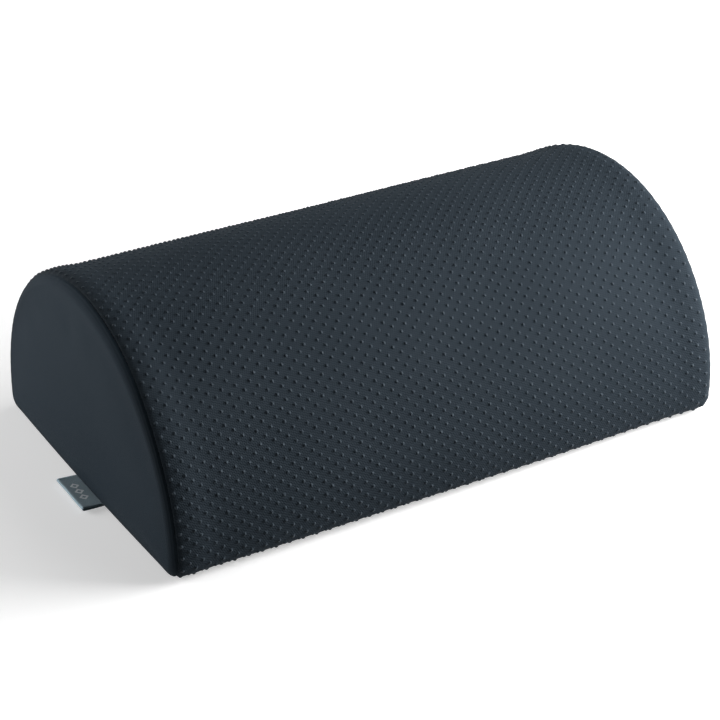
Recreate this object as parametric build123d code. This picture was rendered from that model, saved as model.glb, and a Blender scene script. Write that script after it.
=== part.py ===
"""Half-round bolster pillow: one foam block in a zip-off knitted cover.

Millimetres. The pillow lies on its flat base on the plane Z = 0, with its length along X.
The origin is the middle of the base. The end panel with the woven loop label faces -X,
the round back rises along +Z, and the zip runs low along the rear, at +Y.
"""
import os
from math import atan2, cos, pi, sin, sqrt

from build123d import *

# --- cushion body -----------------------------------------------------------------
LENGTH = 440.0       # end panel to end panel
ARC_R = 137.0        # radius of the round back
ARC_Z = 17.5         # height of that arc's centre above the base
CORNER_R = 13.0      # soft long edges, where the back turns under the base
RIM_R = 8.6          # rounding where the back meets each end panel

# --- cover ------------------------------------------------------------------------
FABRIC = 2.0         # padded knit, face to back
FOAM_EASE = 0.4      # between the cover and the foam
PRESSED = 2.6        # how deep the zip presses into the foam, below the cover's back
PRESSED_UP = 14.0    # half height and end margin of that hollow
PRESSED_END = 3.0
SEAM_IN = 2.5        # end seams sit this far in from the end faces, inside the rim
KERF = 0.6           # crease between two panels at a seam
BASE_SEAM_Y = -112.0  # seam on the underside, just behind the front edge

# --- sewing thread ----------------------------------------------------------------
THREAD_IN = 0.6      # depth of the seam thread below the cover's face
THREAD_OUT = 1.6
THREAD_W = 0.4
THREAD_PAST = 0.5    # the rear seams' thread starts this far past the opening
STITCH_PAST = 1.0    # and the topstitching runs on this far
STITCH_W = 0.7       # topstitching beside the zip
STITCH_H = 0.35
SKIM = 0.02          # air under what lies on the cover
TACK_W = 1.6         # bartacks at the zip's ends
TACK_OUT = 2.0       # from the end of the opening
TACK_H = 0.5

# --- zip, on the rear side --------------------------------------------------------
ZIP_Z = 22.0         # height of its centre line
ZIP_HALF = 190.0     # half length of the rows of coil
SLOT_HALF = 197.0    # half length of the opening in the cover
SLOT_W = 12.0        # width of the opening between the folded edges
TAPE_HALF = 205.0    # half length of the tapes
TAPE_W = 12.5        # one tape
TAPE_T = 0.6
TAPE_IN = FABRIC + 0.1
TAPE_AIR = 0.05      # between a tape and the coil on it
ROW_GAP = 0.5        # from the centre line to each tape and each row
COIL_W = 2.6         # one row
COIL_IN = 0.1        # coil's top below the cover's face
STITCH_OFF = 2.6     # topstitching to the folded edge
STOP_GAP = 0.3       # from the rows to the stops beyond them
TOP_STOP_L = 2.5
BOTTOM_STOP_L = 3.0
STOP_HALF = 3.3      # half height of the stops

# --- zip slider, closed at the -X end ---------------------------------------------
SLIDER_L = 12.0
SLIDER_W = 9.4
RUN = 0.35           # running clearance
PLATE_T = 0.9
PLATE_CORNER = 2.0
BACK_INSET = 0.55    # the bottom plate is this much smaller all round
FLANGE_INSET = 2.0
WEB_X0 = 1.0         # the web runs between these distances from the slider's nose
WEB_X1 = 6.0
WEB_HALF = 0.2
SINK = 0.1           # overlap that welds one part of the casting to the next
SLIDER_X = -ZIP_HALF + 0.4 + SLIDER_L / 2
CROWN_HALF = 3.2     # arch over the pull tab's pin
CROWN_T = 1.0
CROWN_W = 1.8
CROWN_ROOF = 0.8
CROWN_CORNER = 1.2
PIN_R = 0.6
PIN_LIFT = 1.35      # pin centre above the slider's top plate

# --- pull tab ---------------------------------------------------------------------
TAB_L = 24.0
TAB_W = 6.4
TAB_T = 1.2
WINDOW_L = 4.5
WINDOW_W = 2.9
TAB_CORNER = 2.6
EYE_R = 1.4          # hole for a cord near the tab's free end
EYE_IN = 4.5

# --- woven loop label, in the seam between the left end panel and the base --------
LABEL_Y = -4.0       # middle of the label
LABEL_W = 44.0
LABEL_OUT = 14.5     # how far it stands out past the end panel
LABEL_T = 0.5        # one layer of ribbon
LABEL_FOLD_R = 1.0   # centre line radius of its outer fold
LABEL_LOW_Z = 1.1    # lower layer, along its free length
LABEL_SEAM_LOW = 1.0   # heights of the two layers at the seam
LABEL_SEAM_HIGH = 2.1
LABEL_HIDDEN = 8.0   # length of each layer that rises from the seam

# --- regions that cut one strip out of a skin ----------------------------------------
WIDE = 180.0         # past the cushion on every side
REAR_Y0 = 100.0      # the rear side starts here

PLATE_Y = ARC_R - COIL_IN + RUN            # underside of the slider's top plate
PLATE_TOP = PLATE_Y + PLATE_T
PIN_Y = PLATE_TOP + PIN_LIFT


def slab(x0, x1, y0, y1, z0, z1):
    """Plain block between two corners."""
    middle = Pos((x0 + x1) / 2, (y0 + y1) / 2, (z0 + z1) / 2)
    return middle * Box(x1 - x0, y1 - y0, z1 - z0)


def half_round(inset):
    """Cross-section of the cushion, pulled in by inset on every side."""
    span = sqrt((ARC_R - CORNER_R) ** 2 - (ARC_Z - CORNER_R) ** 2)
    tilt = atan2(CORNER_R - ARC_Z, span)
    middle = (tilt - pi / 2) / 2
    back = ARC_R - inset
    corner = CORNER_R - inset
    side_y = back * cos(tilt)
    side_z = ARC_Z + back * sin(tilt)
    bulge_y = span + corner * cos(middle)
    bulge_z = CORNER_R + corner * sin(middle)
    with BuildSketch(Plane.YZ) as section:
        with BuildLine():
            ThreePointArc((side_y, side_z), (0, ARC_Z + back), (-side_y, side_z))
            ThreePointArc((-side_y, side_z), (-bulge_y, bulge_z), (-span, inset))
            Line((-span, inset), (span, inset))
            ThreePointArc((span, inset), (bulge_y, bulge_z), (side_y, side_z))
        make_face()
    return section.sketch


def block(inset):
    """The whole cushion's shape, with rounded end rims, pulled in by inset."""
    body = extrude(half_round(inset), amount=LENGTH / 2 - inset, both=True)
    ends = body.edges().group_by(Axis.X)
    return fillet(ends[0] + ends[-1], RIM_R - inset)


def layer(outer, inner):
    """A skin between two depths below the cover's face."""
    return block(outer) - block(inner)


def rear(half, z0, z1):
    """Region at the rear side, used to keep one strip of a skin."""
    return slab(-half, half, REAR_Y0, WIDE, z0, z1)


def zip_slot():
    return rear(SLOT_HALF, ZIP_Z - SLOT_W / 2, ZIP_Z + SLOT_W / 2)


def foam_core():
    """Half-round foam block, pressed in a little where the zip lies on it."""
    foam = block(FABRIC + FOAM_EASE)
    reach = TAPE_HALF + PRESSED_END
    bottom = ARC_R - FABRIC - PRESSED
    return foam - slab(-reach, reach, bottom, WIDE, ZIP_Z - PRESSED_UP, ZIP_Z + PRESSED_UP)


def sleeve():
    """The cover between its two end seams."""
    reach = LENGTH / 2 - SEAM_IN - KERF / 2
    return layer(0, FABRIC) & slab(-reach, reach, -WIDE, WIDE, -WIDE, WIDE)


def under(edge_y, edge_z):
    """Region of the base panel, up to the rear seam."""
    return slab(-LENGTH, LENGTH, edge_y, WIDE, -WIDE, edge_z)


def cover_top_panel():
    panel = sleeve() - under(BASE_SEAM_Y - KERF / 2, ZIP_Z + KERF / 2)
    return panel - zip_slot()


def cover_base_panel():
    panel = sleeve() & under(BASE_SEAM_Y + KERF / 2, ZIP_Z - KERF / 2)
    return panel - zip_slot()


def cover_end(side):
    """Flat half-round end panel, turned over the rim as far as its seam."""
    face = side * LENGTH / 2
    seam = side * (LENGTH / 2 - SEAM_IN + KERF / 2)
    reach = slab(min(face, seam), max(face, seam), -WIDE, WIDE, -WIDE, WIDE)
    return layer(0, FABRIC) & reach


def seam_thread_end(side):
    """Thread of one end seam, down in the crease all round the rim."""
    seam = side * (LENGTH / 2 - SEAM_IN)
    ring = slab(seam - THREAD_W / 2, seam + THREAD_W / 2, -WIDE, WIDE, -WIDE, WIDE)
    return layer(THREAD_IN, THREAD_OUT) & ring


def seam_thread_base():
    """Thread of the long seam on the underside."""
    reach = LENGTH / 2 - SEAM_IN - FABRIC
    half = THREAD_W / 2
    return slab(-reach, reach, BASE_SEAM_Y - half, BASE_SEAM_Y + half, THREAD_IN, THREAD_OUT)


def seam_thread_rear():
    """Thread of the two short rear seams, between the zip's ends and the end seams."""
    reach = LENGTH / 2 - RIM_R
    ply = layer(THREAD_IN, THREAD_OUT) & rear(reach, ZIP_Z - THREAD_W / 2, ZIP_Z + THREAD_W / 2)
    return ply - rear(SLOT_HALF + THREAD_PAST, 0, WIDE)


def zip_tape(side):
    """Woven tape under one folded edge of the cover."""
    near = ZIP_Z + side * ROW_GAP
    far = near + side * TAPE_W
    skin = layer(TAPE_IN, TAPE_IN + TAPE_T)
    return skin & rear(TAPE_HALF, min(near, far), max(near, far))


def zip_coil(side):
    """One row of coil, along the inner edge of its tape."""
    near = ZIP_Z + side * ROW_GAP
    far = near + side * COIL_W
    skin = layer(COIL_IN, TAPE_IN - TAPE_AIR)
    return skin & rear(ZIP_HALF, min(near, far), max(near, far))


def zip_stitching(side):
    """Topstitching that holds one folded edge to its tape."""
    line = ZIP_Z + side * (SLOT_W / 2 + STITCH_OFF)
    skin = layer(-STITCH_H, -SKIM)
    return skin & rear(SLOT_HALF + STITCH_PAST, line - STITCH_W / 2, line + STITCH_W / 2)


def zip_bartacks():
    """Dense tacks that close the opening at both ends."""
    near = SLOT_HALF + TACK_OUT
    skin = layer(-TACK_H, -SKIM) & rear(near + TACK_W, ZIP_Z - SLOT_W / 2, ZIP_Z + SLOT_W / 2)
    return skin - rear(near, 0, WIDE)


def zip_top_stops():
    """Two crimped stops, one on each tape, beyond the closed end of the rows."""
    skin = layer(COIL_IN, TAPE_IN - TAPE_AIR)
    near = -ZIP_HALF - STOP_GAP
    reach = slab(near - TOP_STOP_L, near, REAR_Y0, WIDE, ZIP_Z - STOP_HALF, ZIP_Z + STOP_HALF)
    return (skin & reach) - rear(LENGTH, ZIP_Z - ROW_GAP, ZIP_Z + ROW_GAP)


def zip_bottom_stop():
    """One clamp across both rows, where the zip ends when open."""
    near = ZIP_HALF + STOP_GAP
    reach = slab(near, near + BOTTOM_STOP_L, REAR_Y0, WIDE, ZIP_Z - STOP_HALF, ZIP_Z + STOP_HALF)
    return layer(0, TAPE_IN - TAPE_AIR) & reach


def zip_slider():
    """Top plate with side flanges, bottom plate, the web between the rows, and the crown."""
    x0 = SLIDER_X - SLIDER_L / 2
    x1 = SLIDER_X + SLIDER_L / 2
    half = SLIDER_W / 2
    tape_face = ARC_R - TAPE_IN
    tape_back = tape_face - TAPE_T
    top = slab(x0, x1, PLATE_Y, PLATE_TOP, ZIP_Z - half, ZIP_Z + half)
    top = fillet(top.edges().filter_by(Axis.Y), PLATE_CORNER)
    back_y = tape_back - RUN
    back_half = half - BACK_INSET
    bottom = slab(x0 + BACK_INSET, x1 - BACK_INSET, back_y - PLATE_T, back_y, ZIP_Z - back_half, ZIP_Z + back_half)
    bottom = fillet(bottom.edges().filter_by(Axis.Y), PLATE_CORNER - BACK_INSET)
    body = top + bottom
    for side in (-1, 1):
        inner = ZIP_Z + side * (ROW_GAP + COIL_W + RUN)
        outer = ZIP_Z + side * half
        body = body + slab(x0 + FLANGE_INSET, x1 - FLANGE_INSET, tape_face + RUN, PLATE_Y,
                           min(inner, outer), max(inner, outer))
    web = slab(x0 + WEB_X0, x0 + WEB_X1, back_y - SINK, PLATE_Y + SINK, ZIP_Z - WEB_HALF, ZIP_Z + WEB_HALF)
    return body + web + crown()


def crown():
    """Arch on the slider that carries the pull tab's pin."""
    rise = PIN_Y + PIN_R + RUN + CROWN_ROOF
    z0 = ZIP_Z - CROWN_W / 2
    z1 = ZIP_Z + CROWN_W / 2
    arch = slab(SLIDER_X - CROWN_HALF, SLIDER_X + CROWN_HALF, PLATE_TOP, rise, z0, z1)
    shoulders = arch.edges().filter_by(Axis.Z).sort_by(Axis.Y)[-2:]
    arch = fillet(shoulders, CROWN_CORNER)
    gap = CROWN_HALF - CROWN_T
    return arch - slab(SLIDER_X - gap, SLIDER_X + gap, PLATE_TOP, rise - CROWN_ROOF, 0, WIDE)


def zip_pull_tab():
    """Flat tab lying back along the rows, hinged by its pin under the crown."""
    half = TAB_W / 2
    y0 = PIN_Y - TAB_T / 2
    y1 = PIN_Y + TAB_T / 2
    plate = slab(SLIDER_X, SLIDER_X + TAB_L, y0, y1, ZIP_Z - half, ZIP_Z + half)
    plate = fillet(plate.edges().filter_by(Axis.Y).sort_by(Axis.X)[-2:], TAB_CORNER)
    window = slab(SLIDER_X - TAB_T, SLIDER_X + WINDOW_L, 0, WIDE, ZIP_Z - WINDOW_W / 2, ZIP_Z + WINDOW_W / 2)
    eye = Pos(SLIDER_X + TAB_L - EYE_IN, PIN_Y, ZIP_Z) * Rot(90, 0, 0) * Cylinder(EYE_R, 4 * TAB_T)
    pin = Pos(SLIDER_X, PIN_Y, ZIP_Z) * Cylinder(PIN_R, TAB_W)
    return plate - window - eye + pin


def label_line(shift):
    """Side view of the folded ribbon, moved off its centre line by shift."""
    root = LENGTH / 2 - SEAM_IN - THREAD_W / 2
    free = root + LABEL_HIDDEN
    tip = LENGTH / 2 + LABEL_OUT - LABEL_FOLD_R - LABEL_T / 2
    high_z = LABEL_LOW_Z + 2 * LABEL_FOLD_R
    rising_z = (LABEL_SEAM_HIGH + high_z) / 2
    low = [(-root, LABEL_SEAM_LOW - shift), (-free, LABEL_LOW_Z - shift), (-tip, LABEL_LOW_Z - shift)]
    high = [(-tip, high_z + shift), (-free, rising_z + shift), (-root, LABEL_SEAM_HIGH + shift)]
    return low, (-tip - LABEL_FOLD_R - shift, LABEL_LOW_Z + LABEL_FOLD_R), high


def woven_label():
    """Ribbon folded into a flat loop, its two ends caught in the seam."""
    low_a, tip_a, high_a = label_line(LABEL_T / 2)
    low_b, tip_b, high_b = label_line(-LABEL_T / 2)
    with BuildSketch(Plane.XZ.offset(-(LABEL_Y + LABEL_W / 2))) as side:
        with BuildLine():
            Spline(low_a)
            ThreePointArc(low_a[-1], tip_a, high_a[0])
            Spline(high_a)
            Line(high_a[-1], high_b[-1])
            Spline(high_b[::-1])
            ThreePointArc(high_b[0], tip_b, low_b[-1])
            Spline(low_b[::-1])
            Line(low_b[0], low_a[0])
        make_face()
    return extrude(side.sketch, amount=LABEL_W)


PARTS = {
    "foam_core": foam_core,
    "cover_top_panel": cover_top_panel,
    "cover_base_panel": cover_base_panel,
    "cover_end_left": lambda: cover_end(-1),
    "cover_end_right": lambda: cover_end(1),
    "seam_thread_left": lambda: seam_thread_end(-1),
    "seam_thread_right": lambda: seam_thread_end(1),
    "seam_thread_base": seam_thread_base,
    "seam_thread_rear": seam_thread_rear,
    "zip_tape_upper": lambda: zip_tape(1),
    "zip_tape_lower": lambda: zip_tape(-1),
    "zip_coil_upper": lambda: zip_coil(1),
    "zip_coil_lower": lambda: zip_coil(-1),
    "zip_stitching_upper": lambda: zip_stitching(1),
    "zip_stitching_lower": lambda: zip_stitching(-1),
    "zip_bartacks": zip_bartacks,
    "zip_top_stops": zip_top_stops,
    "zip_bottom_stop": zip_bottom_stop,
    "zip_slider": zip_slider,
    "zip_pull_tab": zip_pull_tab,
    "woven_label": woven_label,
}

os.makedirs("parts", exist_ok=True)
for name, make in PARTS.items():
    shape = make()
    export_step(shape, f"parts/{name}.step")
    box = shape.bounding_box()
    print(name, len(shape.solids()), round(shape.volume, 1), box.min, box.max)
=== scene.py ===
"""Looks of the half-round bolster pillow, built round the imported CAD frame. Metres, +Z up."""
import math

import bpy
import numpy as np
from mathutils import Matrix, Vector
from mathutils.geometry import delaunay_2d_cdt


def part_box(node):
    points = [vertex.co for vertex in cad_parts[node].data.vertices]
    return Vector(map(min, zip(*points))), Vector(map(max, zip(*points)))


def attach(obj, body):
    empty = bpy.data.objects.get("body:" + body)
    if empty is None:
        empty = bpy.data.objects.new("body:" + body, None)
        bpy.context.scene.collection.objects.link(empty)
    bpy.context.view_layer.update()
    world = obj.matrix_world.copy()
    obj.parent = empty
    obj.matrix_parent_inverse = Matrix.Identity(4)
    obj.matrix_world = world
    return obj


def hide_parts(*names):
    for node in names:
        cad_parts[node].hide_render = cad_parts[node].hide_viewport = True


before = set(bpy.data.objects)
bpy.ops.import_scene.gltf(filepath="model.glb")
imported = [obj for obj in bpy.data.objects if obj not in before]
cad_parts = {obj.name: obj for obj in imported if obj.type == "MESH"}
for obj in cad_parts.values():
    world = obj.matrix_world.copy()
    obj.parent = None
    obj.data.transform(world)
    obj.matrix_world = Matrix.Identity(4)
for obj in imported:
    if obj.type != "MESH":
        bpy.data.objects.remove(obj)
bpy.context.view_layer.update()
MM = 0.001
rng = np.random.default_rng(7)

# ---- cushion, read from the frame
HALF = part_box("cover_end_right")[1].x  # half length, end face to middle
ARC_R = -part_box("cover_top_panel")[0].y  # radius of the round back
ARC_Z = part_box("cover_top_panel")[1].z - ARC_R  # height of the arc's centre
CORNER_R = 13.0 * MM  # rounding of the long lower edges
RIM_R = 8.6 * MM  # rounding at the end rims
SEAM_TURN = math.radians(45)  # how far round the rim the end seam sits
BASE_SEAM_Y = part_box("cover_base_panel")[0].y  # long seam on the underside
FABRIC = 2.0 * MM
FOAM_EASE = 0.4 * MM  # between the cover and the foam
EDGE = 0.12 * MM  # each panel stops this far from its seam line
UNDER_SEAM = 1.1 * MM  # seam thread's depth below the nominal skin
SEAM_HIGH, SEAM_LOW = -2.8 * MM, -1.6 * MM  # the left end seam strays this far on to the round back
SEAM_RIGHT = 3.2 * MM  # and the right one this far on to its end face
SEAM_SOFT = 14.0 * MM  # how far from a seam the cloth follows it
STRAY_FROM, STRAY_OVER = 0.06, 0.09  # run from the top over which the left seam strays less and less
STRAY_END = 0.015  # run over which both seams come back to the middle of the rim

# ---- how the stuffed cover stands off its nominal skin
SWELL_BACK, SWELL_END = 0.45, 0.5  # shares kept of the simulated stand-off
PROUD, PROUD_AT, PROUD_WIDE = 1.3 * MM, 0.013, 0.011  # soft ridge beside each end rim
BELLY, BELLY_Z, BELLY_WIDE = 1.6 * MM, 0.018, 0.035  # bow of the lower front and rear
WAVE_FINE, WAVE_SLOW, WAVE_END = 0.2 * MM, 0.25 * MM, 0.3 * MM  # unevenness of the back and the ends
PUCKER, PUCKER_WIDE = 0.15 * MM, 0.006  # gathers along an end seam
RIB, RIB_PITCH, RIB_WIDE = 0.14 * MM, 1.9 * MM, 0.0055  # tension ribs beside an end seam
BOW_LEFT, BOW_RIGHT, BOW_Z = 2.2 * MM, 0.9 * MM, 0.05  # low bow of the end panels
DIP_END, DIP_END_WIDE, DIP_FACE_WIDE = 0.4 * MM, 1.6 * MM, 1.5 * MM  # cloth drawn down beside seams
DIP_FRONT, DIP_BASE, DIP_BASE_END, DIP_WIDE = 1.2 * MM, 0.8 * MM, 0.7 * MM, 2.0 * MM
DIP_ZIP, DIP_ZIP_WIDE, DIP_REAR_WIDE = 1.4 * MM, 1.5 * MM, 1.8 * MM
ZIP_FLAT, ZIP_EASE = 0.004, 0.03  # the cover is flat this near the zip, and eases in over this much more
BASE_EASE, BASE_LIFT_WIDE = 0.02, 0.014  # beside the front seam the base eases in, and is lifted
BACK_EASE = 0.4 * MM  # the cloth's back follows its face outwards only this far

# ---- raised dots of the top panel
DOT_PITCH = 10.2 * MM  # along the length
DOT_ROW = 9.17 * MM / 2  # between staggered rows, round the back
DOT_R = 1.65 * MM
DOT_H = 0.9 * MM
# rings of one dot: radius share, points, start angle, height share, slope of the cloth there
DOT_SHAPE = ((0.0, 1, 0.0, 1.0, 0.0), (0.55, 6, 0.3, 0.7, -1.15), (1.0, 8, 0.1, 0.01, -0.05))
DOT_DRIFT = (0.55 * MM, 0.5 * MM)  # slow wander of the rows
DOT_STRAY, DOT_UNEVEN = 0.17 * MM, 0.09  # random shift, and share of size
FIRST_DOT = 3.6 * MM  # from the left end seam
LAST_DOT = 7.0 * MM  # dots stop this far from the right end seam
DOTS_TO_ZIP, DOTS_TO_FRONT = 4.2 * MM, 3.2 * MM  # and this far from the zip's opening and the front seam

# ---- zip
ZIP_Z = (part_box("zip_tape_lower")[1].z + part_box("zip_tape_upper")[0].z) / 2
ROW_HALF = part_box("zip_coil_upper")[1].x  # half length of the rows of coil
TAPE_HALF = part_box("zip_tape_upper")[1].x
SLOT_HALF = 197.0 * MM  # half length of the opening in the cover
SLOT_W = 12.0 * MM
TAPE_GAP = 0.5 * MM  # from the zip's centre line to each tape
TAPE_W = 12.5 * MM
TAPE_DEPTH = 2.12 * MM
TAPE_T = 0.55 * MM
COIL_PITCH = 1.3 * MM
COIL_WIRE = 0.27 * MM  # radius of the monofilament
COIL_OFF = 1.83 * MM  # from the centre line to the middle of one row
COIL_WIDE = 1.02 * MM  # half width and half height of one turn
COIL_HIGH = 0.70 * MM
COIL_DEPTH = 1.12 * MM
STITCH_OFF = 2.6 * MM  # topstitching to the folded edge
STITCH_PITCH = 3.1 * MM
THREAD_R = 0.24 * MM  # seam thread
TACK_TURNS = 36  # passes of thread in one bartack
ZIP_PRESS = 2.6 * MM  # how far the zip presses the foam in

# ---- woven loop label
LABEL_Y0, LABEL_Y1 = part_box("woven_label")[0].y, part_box("woven_label")[1].y
LABEL_TIP = -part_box("woven_label")[0].x
LABEL_ROOT = -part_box("woven_label")[1].x
LABEL_T = 0.5 * MM
LABEL_FOLD_R = 1.0 * MM
LOZENGE_R, LOZENGE_PITCH = 3.6 * MM, 8.0 * MM

# ---- studio: place, size and power of each light, the world's strength, and the floor
LIGHTS = {"key": ((0.72, -0.45, 0.40), (0.6, 0.6), 15.2),
          "rear_left": ((-1.05, 0.72, 0.2), (0.9, 0.7), 15.2),
          "overhead": ((0.9, -0.1, 1.2), (1.6, 1.6), 11.5)}
AMBIENT = 0.065
FLOOR_HALF = 12.0
GLOW, GLOW_REACH = (0.4, 1.0), (0.35, 1.3)  # the floor's own light near and far away, and how far that is

# ---- camera: its lens, its angles, and its distance, rise and shift in lengths of the cushion
LENS, SENSOR = 102.8, 36.0
AZIMUTH, ELEVATION = math.radians(-30.83), math.radians(28.75)
BACK, UP, RIGHT = 3.4521, 0.0805, -0.0002

# ---- running lengths round the cross-section, from the top, front side positive
CORNER_Y = math.sqrt((ARC_R - CORNER_R) ** 2 - (ARC_Z - CORNER_R) ** 2)
TILT = math.atan2(ARC_Z - CORNER_R, CORNER_Y)
ARC_END = ARC_R * (math.pi / 2 + TILT)
CORNER_END = ARC_END + CORNER_R * (math.pi / 2 - TILT)
ROUND_HALF = CORNER_END + CORNER_Y  # middle of the base
ZIP_S = -ARC_R * math.acos((ZIP_Z - ARC_Z) / ARC_R)
ZIP_BASE_S = 2 * ROUND_HALF + ZIP_S  # the same line, reached round the base
BASE_SEAM_S = CORNER_END + CORNER_Y + BASE_SEAM_Y

# ---- running lengths along the pillow, from its middle and over the rim to the end face
FLAT_HALF = HALF - RIM_R
SEAM_W = FLAT_HALF + RIM_R * SEAM_TURN  # end seams
RIM_END = FLAT_HALF + RIM_R * math.pi / 2
FACE_REACH = 70.0 * MM  # from the rim to the middle of the end face
FACE_MID_Z = 50.0 * MM
FACE_CAP = RIM_END + 0.97 * FACE_REACH  # a flat cap closes the rings of an end face here


# ---- nominal skin of the cushion
def smooth(t):
    t = np.clip(t, 0.0, 1.0)
    return t * t * (3 - 2 * t)


def hump(x, wide):
    """A smooth hump of height 1 round zero."""
    return np.exp(-(x / wide) ** 2)


def flat_line(w, s):
    return 0.0 * w


def skin(s):
    """(y, z, normal y, normal z) of the cushion's section at running length s."""
    s = np.asarray(s, float)
    s = np.where(s > ROUND_HALF, s - 2 * ROUND_HALF, s)
    side = np.where(s < 0, 1.0, -1.0)
    a = np.abs(s)
    turn = np.where(a < ARC_END, a / ARC_R, ARC_END / ARC_R + (a - ARC_END) / CORNER_R)
    turn = np.minimum(turn, math.pi)
    ny, nz = np.sin(turn), np.cos(turn)
    on_arc, on_base = a < ARC_END, a > CORNER_END
    y = np.where(on_arc, ARC_R * ny, CORNER_Y + CORNER_R * ny)
    z = np.where(on_arc, ARC_Z + ARC_R * nz, CORNER_R + CORNER_R * nz)
    y = np.where(on_base, CORNER_Y - (a - CORNER_END), y)
    z = np.where(on_base, 0.0, z)
    return side * y, z, side * ny, nz


def from_top(s):
    """Running length from the top to s by the shorter way round."""
    return np.abs(np.where(s > ROUND_HALF, s - 2 * ROUND_HALF, s))


def seam_shift(w, s):
    """How far an end seam strays across the rim: the left one on to the round back, the right one
    towards its end face, and both back to the middle of the rim under the base."""
    a = from_top(s)
    left = SEAM_HIGH + (SEAM_LOW - SEAM_HIGH) * smooth((a - STRAY_FROM) / STRAY_OVER)
    return np.where(w < 0, left, SEAM_RIGHT) * (1 - smooth((a - CORNER_END + STRAY_END / 3) / STRAY_END))


def skin_points(w, s, h):
    """Points of the cushion's skin: w along the length and over the rim to the middle of the end
    face, s round the section, h off the nominal skin."""
    w, s, h = np.broadcast_arrays(np.asarray(w, float), s, h)
    along = np.abs(w)
    along = along + seam_shift(w, s) * hump(along - SEAM_W, SEAM_SOFT)
    turn = np.clip((along - FLAT_HALF) / RIM_R, 0, math.pi / 2)
    face = np.clip((along - RIM_END) / FACE_REACH, 0, 1)
    y, z, ny, nz = skin(s)
    out = h * np.cos(turn) - RIM_R * (1 - np.cos(turn))
    x = np.minimum(along, FLAT_HALF) + (RIM_R + h) * np.sin(turn)
    y = (y + out * ny) * (1 - face)
    z = (z + out * nz) * (1 - face) + FACE_MID_Z * face
    return np.stack([np.sign(w) * x, y, np.maximum(z, 0.0)], -1)


def unit(vectors):
    return vectors / (np.linalg.norm(vectors, axis=-1)[..., None] + 1e-12)


def directions(w, s, height):
    """Unit normals, and unit directions along w and round s, of the skin with stand-off height(w, s)."""
    e = 0.2 * MM
    along = unit(skin_points(w + e, s, height(w + e, s)) - skin_points(w - e, s, height(w - e, s)))
    round_ = unit(skin_points(w, s + e, height(w, s + e)) - skin_points(w, s - e, height(w, s - e)))
    return unit(np.cross(round_, along)), along, round_


# ---- mesh helpers
def put(name, data):
    """A new object in the scene."""
    made = bpy.data.objects.new(name, data)
    bpy.context.scene.collection.objects.link(made)
    return made


def make_piece(name, node, points, faces, material, slot, data=None, normals=None):
    """A mesh piece on the cushion that takes a CAD node's place. data holds named per-point values."""
    mesh = bpy.data.meshes.new(name)
    mesh.from_pydata(np.asarray(points).tolist(), [], [list(map(int, f)) for f in faces])
    for key, values in (data or {}).items():
        values = np.asarray(values, np.float32)
        kind = "FLOAT_VECTOR" if values.ndim == 2 else "FLOAT"
        attribute = mesh.attributes.new(key, kind, "POINT")
        field = "vector" if values.ndim == 2 else "value"
        attribute.data.foreach_set(field, values.ravel())
    mesh.polygons.foreach_set("use_smooth", np.ones(len(mesh.polygons), bool))
    if normals is not None:
        mesh.normals_split_custom_set_from_vertices(np.asarray(normals).tolist())
    mesh.materials.append(material)
    piece = put(name, mesh)
    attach(piece, "cushion")
    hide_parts(node)
    return piece


def grid_faces(rows, columns, closed=False, flip=False):
    """Quads of a rows by columns grid of points, optionally closed along the columns."""
    r, c = np.meshgrid(np.arange(rows - 1), np.arange(columns if closed else columns - 1), indexing="ij")
    c2 = (c + 1) % columns
    quads = np.stack([r * columns + c, r * columns + c2, (r + 1) * columns + c2, (r + 1) * columns + c], -1)
    quads = quads.reshape(-1, 4)
    return quads[:, ::-1] if flip else quads


def tube_faces(rows, columns):
    """A closed tube of rows rings of columns points, with both ends capped."""
    faces = grid_faces(rows, columns, closed=True).tolist()
    return faces + [list(range(columns - 1, -1, -1)), [(rows - 1) * columns + i for i in range(columns)]]


def two_sided(rows, columns, flip):
    """Faces of a thin sheet: a grid of points, the same grid again for its other side, and the edge."""
    n = rows * columns
    top, under = grid_faces(rows, columns, flip=flip), grid_faces(rows, columns, flip=not flip) + n
    ids = np.arange(n).reshape(rows, columns)
    loop = np.concatenate([ids[:-1, 0], ids[-1, :-1], ids[:0:-1, -1], ids[0, :0:-1]])
    after = np.roll(loop, -1)
    first, second = (after, loop) if flip else (loop, after)
    edge = np.stack([first, second, second + n, first + n], -1)
    return np.concatenate([top, under, edge]).tolist()


def steps(start, end, pitch):
    """Evenly spaced values from start to end, no further apart than pitch."""
    return np.linspace(start, end, max(2, math.ceil(abs(end - start) / pitch) + 1))


def plane(vectors):
    """Cloth coordinates as three-part vectors, for a mesh attribute."""
    return np.column_stack([vectors, np.zeros(len(vectors))])


def tubes(paths, normals, wide, high, sides, taper):
    """One tube along each path of points. taper scales the cross-section from end to end."""
    count, length, _ = paths.shape
    tangent = unit(np.gradient(paths, axis=1))
    across = unit(np.cross(tangent, normals))
    upward = np.cross(across, tangent)
    a = np.arange(sides) * 2 * math.pi / sides
    size = np.asarray(taper)[None, :, None, None]
    rings = paths[:, :, None] + size * (wide * np.cos(a)[:, None] * across[:, :, None]
                                        + high * np.sin(a)[:, None] * upward[:, :, None])
    one = grid_faces(length, sides, closed=True, flip=True)
    faces = (one[None] + (np.arange(count) * length * sides)[:, None, None]).reshape(-1, 4).tolist()
    for k in range(count):
        first = k * length * sides
        faces.append(list(range(first, first + sides)))
        last = first + (length - 1) * sides
        faces.append(list(range(last + sides - 1, last - 1, -1)))
    return rings.reshape(-1, 3), faces


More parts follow.
